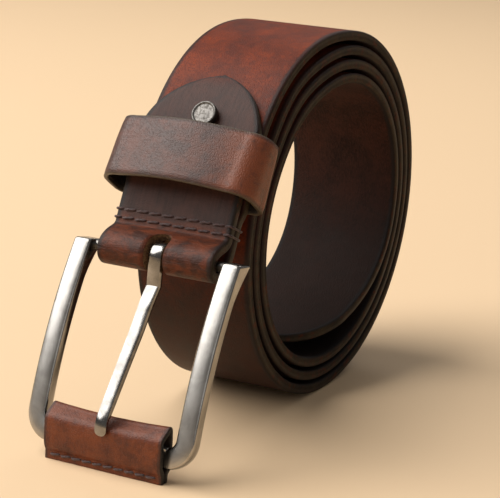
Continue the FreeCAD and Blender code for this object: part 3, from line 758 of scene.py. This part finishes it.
def makeStrap():
    stations = strapStations()
    strap = sweepStrip("strapLeather", stations, strapLeather, None, (), False, shape["corner"], 14, 4)
    fixNormals(strap)
    rise = math.radians(shape["foldRise"])
    along = Vector((0, math.cos(rise), math.sin(rise)))
    inward = Vector((0, math.sin(rise), -math.cos(rise)))
    bar = toFrame(0, shape["barY"], shape["barZ"])
    half = shape["slotWidth"] / 2 * mm
    top = bar - inward * (4.95 * mm) + along * (1.8 * mm) - inward * (3 * mm)
    front = makeCutter("cutFront", slotOutline(top, along, half, 0.03), inward, 0.009)
    backTop = bar + Vector((0, -12, 0.8)) * mm
    back = makeCutter("cutBack", slotOutline(backTop, Vector((0, 0, 1)), half, 0.012), Vector((0, 1, 0)), 0.026)
    cutters = [front, back]
    for i in range(shape["holeCount"]):
        degrees = shape["firstHole"] + i * shape["holeStep"]
        centre = rollPoint(degrees)
        out = centre.normalized()
        sideWay = out.cross(Vector((1, 0, 0)))
        start = toFrame(0, centre.y, centre.z) - out * (1.75 * mm)
        ring = [start + (Vector((1, 0, 0)) * math.cos(a) + sideWay * math.sin(a)) * (shape["holeRadius"] * mm)
                for a in (2 * math.pi * k / 20 for k in range(20))]
        cutters.append(makeCutter("cutHole" + str(i), ring, out, 3.5 * mm))
    cutAway(strap, cutters)
    # hide coordinates again, because the cuts made new points
    tree = KDTree(len(stations))
    for i, st in enumerate(stations):
        tree.insert((0, st["place"].y, st["place"].z), i)
    tree.balance()
    hides, rims = [], []
    for v in strap.data.vertices:
        st = stations[tree.find((0, v.co.y, v.co.z))[1]]
        off = (v.co - st["place"]) / mm
        way = Vector((0, -st["out"].z, st["out"].y))
        extra = off.dot(way)
        depth = off.dot(st["out"])
        hides.append((st["along"] + extra, off.x, depth))
        rims.append(min(st["half"] - abs(off.x), st["toEnd"]))
    setAttribute(strap, "hide", "FLOAT_VECTOR", hides)
    setAttribute(strap, "rim", "FLOAT", rims)
    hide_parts("strap")
    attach(strap, "belt")
    return strap


strap = makeStrap()
print("stage: strap", len(strap.data.vertices), "points")


# ------------------------------------------------------------------- threads
stitchShape = {"radius": 0.37, "rise": 0.20, "sink": 0.42, "slant": 0.35}


def threadTube(points, faces, twists, path, radius, sides=8):
    # one plied stitch between two holes
    base = len(points)
    run = 0.0
    for i, p in enumerate(path):
        a, b = path[max(i - 1, 0)], path[min(i + 1, len(path) - 1)]
        way = (b - a).normalized()
        up = Vector((0, 0.42, 0.9))
        side = way.cross(up)
        if side.length < 0.1:
            side = way.cross(Vector((0, 1, 0)))
        side.normalize()
        other = side.cross(way)
        if i:
            run += (p - path[i - 1]).length / mm
        end = min(i, len(path) - 1 - i)
        size = radius * (0.62 if end == 0 else 0.9 if end == 1 else 1.0)
        for k in range(sides):
            a = 2 * math.pi * k / sides
            swell = 1 + 0.10 * math.cos(2 * a - run * 3.2)
            points.append(p + (side * math.cos(a) + other * math.sin(a)) * (size * swell * mm))
            twists.append(2 * a - run * 3.2)
    for i in range(len(path) - 1):
        for k in range(sides):
            j = (k + 1) % sides
            a, b = base + i * sides, base + (i + 1) * sides
            faces.append((a + k, a + j, b + j, b + k))
    faces.append(tuple(base + k for k in range(sides - 1, -1, -1)))
    faces.append(tuple(base + (len(path) - 1) * sides + k for k in range(sides)))


def stitchRow(name, face, inward, thickness, holes, pitch, node, body, edge=None, radius=None):
    radius = radius or stitchShape["radius"]
    spots = [pitch * (i - (holes - 1) / 2) for i in range(holes)]
    points, faces, twists = [], [], []
    for side, level in ((-1, 0.0), (1, thickness)):
        for a, b in zip(spots, spots[1:]):
            wander = random.uniform(-0.12, 0.12)
            path = []
            for i in range(11):
                u = i / 10
                high = math.sin(math.pi * u) ** 0.45
                lift = high * stitchShape["rise"] - stitchShape["sink"] * (1 - high)
                slide = (wander + stitchShape["slant"]) * (u - 0.5)
                path.append(toFrame(*(face + Vector((a + 0.1 + (b - a - 0.2) * u, 0, 0))))
                            + inward * ((level + side * (lift + 0.05)) * mm) + Vector((0, 0, 1)) * (slide * mm))
            threadTube(points, faces, twists, path, radius)
    if edge:
        for sign in (-1, 1):  # the last stitch goes over the cut edge
            outer = sign * (edge + radius * 0.45)
            inner = sign * spots[-1]
            path = []
            for i in range(7):
                u = i / 6
                lift = -stitchShape["sink"] + (stitchShape["sink"] + 0.16) * min(1.0, u * 3)
                path.append((inner + (sign * (edge - 0.45) - inner) * u, -lift))
            path += [(outer - sign * 0.14, 0.08), (outer, 0.55)]
            path += [(outer, 0.55 + (thickness - 1.1) * i / 6) for i in range(1, 7)]
            path += [(outer - sign * 0.14, thickness - 0.08)]
            for i in range(6, -1, -1):
                u = i / 6
                lift = -stitchShape["sink"] + (stitchShape["sink"] + 0.16) * min(1.0, u * 3)
                path.append((inner + (sign * (edge - 0.45) - inner) * u, thickness + lift))
            threadTube(points, faces, twists,
                       [toFrame(*(face + Vector((x, 0, 0)))) + inward * (w * mm) for x, w in path], radius)
    row = newMesh(name, points, faces, threadLook, body, (node,))
    fixNormals(row)
    setAttribute(row, "twist", "FLOAT", twists)
    return row


twoPly = 2 * shape["thickness"] + shape["plyGap"]
stitchRow("foldStitchUpper", tabPoint(0, 0), tabIn, twoPly, 9, 4.2, "fold_stitch_upper", "belt", 19.0)
stitchRow("foldStitchLower", tabPoint(-2.5, 0), tabIn, twoPly, 9, 4.2, "fold_stitch_lower", "belt", 19.0)

# -------------------------------------------------------------------- keeper
keeperShape = {"width": 49.8, "height": 18.7, "bottom": 8.7, "shift": -0.75, "leather": 1.6, "front": 2.95,
               "lean": 13.0, "drop": 0.17, "bow": 2.7, "back": 8.42, "corner": 7.2, "backCorner": 4.5, "edge": 0.4}


def keeperLine(front, corner):
    # outline of the loop's middle line at one height, as (side, inward)
    k = keeperShape
    half = k["width"] / 2 - k["leather"] / 2
    back = k["back"] + k["leather"] / 2
    backCorner = k["backCorner"] - k["leather"] / 2
    path = []
    for cx, cw, r, first in ((half - backCorner, back - backCorner, backCorner, 0),
                             (-(half - backCorner), back - backCorner, backCorner, 90),
                             (-(half - corner), front + corner, corner, 180),
                             (half - corner, front + corner, corner, 270)):
        for i in range(15):
            a = math.radians(first + 90 * i / 14)
            path.append((cx + r * math.cos(a), cw + r * math.sin(a)))
        if first == 0:
            path += [((half - r) * (1 - i / 8), back) for i in range(1, 16)]
        if first == 90:
            low, high = back - backCorner, front + corner
            path += [(-half, low + (high - low) * i / 4) for i in range(1, 4)]
        if first == 180:
            for i in range(1, 26):
                u = i / 26
                path.append((-(half - corner) * (1 - 2 * u), front - k["bow"] * math.sin(math.pi * u)))
        if first == 270:
            low, high = front + corner, back - backCorner
            path += [(half, low + (high - low) * i / 4) for i in range(1, 4)]
    return path


def makeKeeper():
    k = keeperShape
    levels = 11
    rows = []
    for j in range(levels):
        part = j / (levels - 1)
        leanOut = (0.5 - part) * k["height"] * math.tan(math.radians(k["lean"]))
        front = -(k["front"] + k["leather"] / 2 + leanOut)
        line = keeperLine(front, min(k["corner"], 6.3 + 0.9 * (1 - part)) - k["leather"] / 2)
        rows.append([(x, w, k["bottom"] + part * k["height"] - (w - front) * k["drop"]) for x, w in line])
    count = len(rows[0])
    middle = [sum((Vector((r[i][0], r[i][1])) for r in rows), Vector((0, 0))) / levels for i in range(count)]
    runs = [0.0]
    for i in range(1, count):
        runs.append(runs[-1] + (middle[i] - middle[i - 1]).length)
    points, hides, rims, faces = [], [], [], []
    skin = ((k["leather"] / 2, 0.0), (-k["leather"] / 2, 0.0))
    ring = 0
    for i in range(count):
        way = (middle[(i + 1) % count] - middle[i - 1]).normalized()
        outX, outW = way.y, -way.x
        outline = []
        for j in range(levels):
            off = 0.18 if j in (0, levels - 1) else 0.0
            outline.append((j, skin[0][0] - off, 0.0))
        outline.append((levels - 1, 0.35, 0.16))
        outline.append((levels - 1, -0.35, 0.16))
        for j in range(levels - 1, -1, -1):
            off = 0.18 if j in (0, levels - 1) else 0.0
            outline.append((j, skin[1][0] + off, 0.0))
        outline.append((0, -0.35, -0.16))
        outline.append((0, 0.35, -0.16))
        ring = len(outline)
        for j, n, lift in outline:
            x, w, h = rows[j][i]
            soft = 0.16 * noise.noise(Vector((x * 0.11, w * 0.2, h * 0.12)))  # leather is never quite flat
            p = tabPoint(h + lift, w + outW * (n + soft), x + outX * (n + soft) + k["shift"])
            points.append(toFrame(p.x, p.y, p.z))
            across = (j / (levels - 1) - 0.5) * k["height"]
            hides.append((runs[i], across, n))
            rims.append(k["height"] / 2 - abs(across))
    for i in range(count):
        a, b = i * ring, ((i + 1) % count) * ring
        for m in range(ring):
            j = (m + 1) % ring
            faces.append((a + m, a + j, b + j, b + m))
    obj = newMesh("keeperLoop", points, faces, keeperLeather, None, ())
    setAttribute(obj, "hide", "FLOAT_VECTOR", hides)
    setAttribute(obj, "rim", "FLOAT", rims)
    fixNormals(obj)
    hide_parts("keeper_loop")
    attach(obj, "keeper")
    return obj


makeKeeper()
print("stage: keeper and threads")


# -------------------------------------------------------------------- buckle
buckleShape = {"width": 54.9, "arm": 5.95, "depth": 4.0, "topY": -76.5, "topZ": 2.8, "lean": 25.6, "bow": 160.0,
               "chord": 54.1, "bottomLine": 56.6, "turn": 5.6, "edge": 0.75, "cornerSteps": 3, "flare": 2.7, "flareLength": 11.0,
               "slant": 0.45}


def bowCentre():
    b = buckleShape
    a = math.radians(b["lean"])
    down = Vector((0, -math.sin(a), -math.cos(a)))
    inward = Vector((0, math.cos(a), -math.sin(a)))
    rise = b["bow"] - math.sqrt(b["bow"] ** 2 - (b["chord"] / 2) ** 2)
    return Vector((0, b["topY"], b["topZ"])) + down * (b["chord"] / 2) + inward * (b["bow"] - rise)


def onBow(x, s, inward):
    # unrolled place on the curved buckle: x across, s down from the arm's top, inward from the front face
    centre = bowCentre()
    first = math.atan2(buckleShape["topZ"] - centre.z, buckleShape["topY"] - centre.y)
    a = first + s / buckleShape["bow"]
    p = centre + Vector((0, math.cos(a), math.sin(a))) * (buckleShape["bow"] - inward)
    return toFrame(x, p.y, p.z)


def makeFrame():
    b = buckleShape
    side = b["width"] / 2 - b["arm"] / 2
    low, r = b["bottomLine"], b["turn"]
    path = [(side, s) for s in (0.0, 0.12, 0.45, 1.0)]
    path += [(side, 1.0 + (low - r - 1.0) * i / 34) for i in range(1, 35)]
    path += [(side - r + r * math.cos(math.radians(a)), low - r + r * math.sin(math.radians(a)))
             for a in range(8, 91, 8)] + [(side - r, low)]
    mirrored = [(-x, s) for x, s in reversed(path)]
    path += [(side - r - (2 * (side - r)) * i / 12, low) for i in range(1, 12)] + mirrored
    points, faces, fronts = [], [], []
    count = len(path)
    ring = 0
    for i, (x, s) in enumerate(path):
        ax, as_ = path[max(i - 1, 0)]
        bx, bs = path[min(i + 1, count - 1)]
        tx, ts = bx - ax, bs - as_
        size = math.hypot(tx, ts)
        nx, ns = -ts / size, tx / size  # towards the buckle's inside
        fromTop = s if i < count / 2 else path[count - 1 - i][1]
        shrink = 0.55 * max(0.0, 1 - fromTop / 0.5) ** 2 if fromTop < 0.5 else 0.0
        halfWide = b["arm"] / 2 * (0.965 + 0.05 * min(1.0, fromTop / 50)) - shrink
        hidden = abs(x) < 20.5 and s > 50
        flare = max(0.0, 1 - fromTop / b["flareLength"]) ** 1.6
        deep = 2.5 if hidden else b["depth"] - shrink + b["flare"] * flare
        start = 0.25 if hidden else shrink * 0.6
        outline = sectionOutline(halfWide, -deep, 0.0, b["edge"], 4, b["cornerSteps"])
        ring = len(outline)
        for w, n in outline:
            crown = 0.28 * (w / halfWide) ** 2 if n > -0.9 else 0.0
            inside = start - n + crown
            points.append(onBow(x + nx * w, s + ns * w - b["slant"] * flare * inside, inside))
            fronts.append(1.0 if n > -0.25 and abs(w) < halfWide - 0.5 else 0.0)
    for i in range(count - 1):
        for k in range(ring):
            j = (k + 1) % ring
            faces.append((i * ring + k, i * ring + j, (i + 1) * ring + j, (i + 1) * ring + k))
    faces.append(tuple(range(ring - 1, -1, -1)))
    faces.append(tuple(range((count - 1) * ring, count * ring)))
    obj = newMesh("buckleFrame", points, faces, nickel, "buckle", ("buckle_frame",))
    fixNormals(obj)
    setAttribute(obj, "front", "FLOAT", fronts)
    return obj


makeFrame()
for node, material in (("heel_bar", barSteel), ("rivet_post", rivetSilver)):
    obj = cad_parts[node]
    obj.data.materials.clear()
    obj.data.materials.append(material)

# ------------------------------------------------------------------- sleeve
sleeveShape = {
    "leather": 1.65, "length": 38.6, "sag": 1.15,
    "line": [(-101.20, -55.45), (-101.18, -53.9), (-101.24, -52.7), (-101.75, -51.6), (-102.00, -50.2),
             (-102.02, -48.0), (-101.95, -45.6), (-101.75, -43.6), (-101.05, -42.55), (-99.9, -41.85), (-98.5, -41.1),
             (-97.55, -40.55), (-97.05, -41.3), (-97.05, -44.0), (-97.1, -47.5), (-97.2, -50.4), (-97.75, -51.9),
             (-98.9, -52.6), (-99.35, -53.6), (-99.45, -55.45)],
}


def smoothLine(points, steps=8):
    # curve through the points
    out = []
    for i in range(len(points) - 1):
        p0 = np.array(points[max(i - 1, 0)])
        p1, p2 = np.array(points[i]), np.array(points[i + 1])
        p3 = np.array(points[min(i + 2, len(points) - 1)])
        for k in range(steps):
            u = k / steps
            out.append(0.5 * (2 * p1 + (p2 - p0) * u + (2 * p0 - 5 * p1 + 4 * p2 - p3) * u * u
                              + (3 * p1 - p0 - 3 * p2 + p3) * u ** 3))
    out.append(np.array(points[-1]))
    return out


def makeSleeve():
    v = sleeveShape
    path = smoothLine(v["line"], 5)
    stations = []
    run = 0.0
    for i, (y, z) in enumerate(path):
        a, b = path[max(i - 1, 0)], path[min(i + 1, len(path) - 1)]
        ty, tz = b[0] - a[0], b[1] - a[1]
        size = math.hypot(ty, tz)
        if i:
            run += math.hypot(y - path[i - 1][0], z - path[i - 1][1])
        stations.append({"place": toFrame(0, y, z), "across": Vector((1, 0, 0)),
                         "out": Vector((0, -tz / size, ty / size)), "along": run, "half": v["length"] / 2,
                         "low": -v["leather"] / 2, "high": v["leather"] / 2})
    obj = sweepStrip("frontSleeve", stations, sleeveLeather, None, (), False, 0.4, 26, 3)
    top = toFrame(0, 0, -38.0).z
    for vert in obj.data.vertices:  # top edge worn a little lower in the middle
        x = vert.co.x / (v["length"] / 2 * mm)
        high = min(1.0, max(0.0, 1 - (top - vert.co.z) / 0.006))
        vert.co.z -= v["sag"] * mm * (1 - x * x) * high
        vert.co.y += 0.18 * mm * noise.noise(vert.co * 260)
    fixNormals(obj)
    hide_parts("front_sleeve")
    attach(obj, "buckle")
    return obj


makeSleeve()
stitchRow("sleeveStitching", Vector((0, -102.03, -53.75)), Vector((0, 1, 0)), 3.4, 11, 3.5, "sleeve_stitching",
          "buckle", None, 0.34)

# ------------------------------------------------------------------- tongue
tongueShape = {
    "width": 4.3, "thickness": 2.4, "bevel": 0.75, "eye": 2.75, "headLean": 6.5, "headLength": 8.3,
    "line": [(-80.6, -12.2), (-85.0, -18.3), (-89.8, -24.3), (-94.6, -30.4), (-98.6, -35.5), (-100.9, -38.35),
             (-102.2, -40.0), (-102.95, -41.7), (-103.25, -43.3), (-103.42, -44.6)],
    "thin": [2.4, 2.35, 2.3, 2.25, 2.15, 1.9, 1.35, 0.95, 0.7, 0.5],
}


def makeTongue():
    t = tongueShape
    a = math.radians(t["headLean"])
    down = Vector((0, -math.sin(a), -math.cos(a)))
    front = Vector((0, -math.cos(a), math.sin(a)))
    bar = Vector((0, shape["barY"], shape["barZ"]))
    frontAngle = math.degrees(math.atan2(front.z, front.y))
    path = []
    angle = frontAngle - 290.0
    while angle < frontAngle - 4.0:
        way = Vector((0, math.cos(math.radians(angle)), math.sin(math.radians(angle))))
        path.append((bar + way * t["eye"], t["thickness"] * min(1.0, 0.6 + (angle - frontAngle + 290.0) / 60.0), 1.0))
        angle += 8.0
    start = bar + front * t["eye"]
    head = [start + down * (t["headLength"] * i / 6) for i in range(7)]
    path += [(p, t["thickness"], 1.0) for p in head]
    knots = [(head[-2].y, head[-2].z), (head[-1].y, head[-1].z)] + t["line"]
    thins = [t["thickness"], t["thickness"]] + t["thin"]
    curve = smoothLine(knots, 6)[7:]
    for i, (y, z) in enumerate(curve):
        at = 1 + (i + 1) / 6
        k = min(int(at), len(thins) - 2)
        thick = thins[k] + (thins[k + 1] - thins[k]) * (at - k)
        near = max(0.0, (at - (len(thins) - 2.2)) / 1.2)
        path.append((Vector((0, y, z)), thick, (1.0 - 0.10 * min(1.0, at / 5)) * math.sqrt(max(0.10, 1 - near * near))))
    points, faces = [], []
    half = t["width"] / 2
    ring = 0
    count = len(path)
    for i, (p, thick, wide) in enumerate(path):
        before, after = path[max(i - 1, 0)][0], path[min(i + 1, count - 1)][0]
        way = (after - before).normalized()
        out = Vector((0, way.z, -way.y))
        cut = min(t["bevel"], thick * 0.34)
        w, h = half * wide, thick / 2
        outline = [(-w + cut, -h), (w - cut, -h), (w - cut * 0.3, -h + cut * 0.25), (w, -h + cut), (w, h - cut),
                   (w - cut * 0.3, h - cut * 0.25), (w - cut, h), (-w + cut, h), (-w + cut * 0.3, h - cut * 0.25),
                   (-w, h - cut), (-w, -h + cut), (-w + cut * 0.3, -h + cut * 0.25)]
        ring = len(outline)
        for x, n in outline:
            q = p + out * n
            points.append(toFrame(x, q.y, q.z))
    for i in range(count - 1):
        for k in range(ring):
            j = (k + 1) % ring
            faces.append((i * ring + k, i * ring + j, (i + 1) * ring + j, (i + 1) * ring + k))
    faces.append(tuple(range(ring - 1, -1, -1)))
    faces.append(tuple(range((count - 1) * ring, count * ring)))
    obj = newMesh("tongue", points, faces, tongueSteel, "tongue", ("tongue",))
    fixNormals(obj)
    for edge in obj.data.edges:
        edge.use_edge_sharp = False
    obj.data.set_sharp_from_angle(angle=math.radians(32))
    return obj


makeTongue()

# -------------------------------------------------------------------- rivet
rivetShape = {"angle": 54.1, "side": 1.0, "radius": 3.9, "height": 2.3, "rim": 0.7, "dish": 0.4, "crown": 0.25}


def makeRivet():
    v = rivetShape
    a = math.radians(v["angle"])
    out = Vector((0, -math.sin(a), math.cos(a)))
    radius = shape["leadRadius"] + shape["plyGap"] + shape["thickness"]
    seat = leadPoint(v["angle"], radius) + Vector((v["side"], 0, 0))
    seat = toFrame(seat.x, seat.y, seat.z)
    sideWay = out.cross(Vector((1, 0, 0)))
    r, h = v["radius"], v["height"]
    profile = [(r * 0.80, 0.03), (r * 0.95, 0.10), (r * 0.985, 0.5), (r, h - 0.75), (r - 0.04, h - 0.35),
               (r - 0.16, h - 0.12), (r - 0.38, h), (r - 0.60, h - 0.06), (r - v["rim"] - 0.08, h - v["dish"] * 0.8),
               (r - v["rim"] - 0.3, h - v["dish"]), (r * 0.5, h - v["dish"] + v["crown"] * 0.6),
               (r * 0.25, h - v["dish"] + v["crown"] * 0.9), (0.02, h - v["dish"] + v["crown"])]
    sides = 48
    points, faces, fronts = [], [], []
    for level, (pr, ph) in enumerate(profile):
        for k in range(sides):
            b = 2 * math.pi * k / sides
            points.append(seat + ((Vector((1, 0, 0)) * math.cos(b) + sideWay * math.sin(b)) * pr + out * ph) * mm)
            fronts.append(1.0 if level > 4 else 0.15)
    for i in range(len(profile) - 1):
        for k in range(sides):
            j = (k + 1) % sides
            faces.append((i * sides + k, i * sides + j, (i + 1) * sides + j, (i + 1) * sides + k))
    faces.append(tuple(range(sides - 1, -1, -1)))
    faces.append(tuple((len(profile) - 1) * sides + k for k in range(sides)))
    obj = newMesh("rivetCap", points, faces, rivetSilver, "belt", ("rivet_cap",))
    fixNormals(obj)
    setAttribute(obj, "front", "FLOAT", fronts)
    return obj


makeRivet()
print("stage: buckle, sleeve, tongue and rivet")

# ---------------------------------------------------- floor, light and camera
stageLook = {"floor": (0.82, 0.60, 0.38), "world": (1.0, 0.97, 0.93), "worldStrength": 0.16,
             "key": 56.0, "fill": 0.6, "back": 1.6}


def areaLight(name, place, aim, size, power, colour):
    data = bpy.data.lights.new(name, "AREA")
    data.shape = "RECTANGLE"
    data.size, data.size_y = size
    data.energy = power
    data.color = colour
    obj = bpy.data.objects.new(name, data)
    bpy.context.scene.collection.objects.link(obj)
    obj.location = place
    obj.rotation_mode = "QUATERNION"
    obj.rotation_quaternion = (Vector(place) - Vector(aim)).to_track_quat("Z", "Y")
    return obj


def makeStage():
    look = stageLook
    floorMaterial, tree, shader = newMaterial("paleFloor", Roughness=0.6, Specular_IOR_Level=0.3)
    shader.inputs["Base Color"].default_value = (*look["floor"], 1)
    size = 4.0
    floor = newMesh("floor", [(-size, -size, 0), (size, -size, 0), (size, size, 0), (-size, size, 0)],
                    [(0, 1, 2, 3)], floorMaterial, None, (), False)
    world = bpy.data.worlds.new("studio")
    world.use_nodes = True
    background = world.node_tree.nodes["Background"]
    background.inputs["Color"].default_value = (*look["world"], 1)
    background.inputs["Strength"].default_value = look["worldStrength"]
    bpy.context.scene.world = world
    bpy.context.scene.view_settings.view_transform = "Standard"
    aim = (0, 0, 0.06)
    areaLight("windowLight", (-1.04, -0.48, 1.36), aim, (1.9, 1.9), look["key"], (1.0, 0.97, 0.93))
    areaLight("fillLight", (0.75, -0.75, 0.45), aim, (0.7, 0.5), look["fill"], (1.0, 0.95, 0.90))
    areaLight("backLight", (-0.1, 0.8, 0.75), aim, (0.8, 0.4), look["back"], (1.0, 0.98, 0.95))


def makeCamera():
    azimuth, elevation, roll = math.radians(27.9), math.radians(14.73), math.radians(2.34)
    back = Vector((math.sin(azimuth) * math.cos(elevation), -math.cos(azimuth) * math.cos(elevation),
                   math.sin(elevation)))
    right = Vector((math.cos(azimuth), math.sin(azimuth), 0))
    up = back.cross(right)
    tilted = right * math.cos(roll) + up * math.sin(roll)
    upright = up * math.cos(roll) - right * math.sin(roll)
    data = bpy.data.cameras.new("camera")
    data.lens = 1934.0 / 500 * 36
    data.sensor_width = 36
    data.shift_x = -0.0061
    data.shift_y = -0.0034
    data.clip_start, data.clip_end = 0.05, 20
    camera = bpy.data.objects.new("camera", data)
    bpy.context.scene.collection.objects.link(camera)
    camera.location = toFrame(0, -17.5, -8.76) + back * 0.6
    camera.rotation_mode = "QUATERNION"
    camera.rotation_quaternion = Matrix((tilted, upright, back)).transposed().to_quaternion()
    bpy.context.scene.camera = camera


makeStage()
makeCamera()
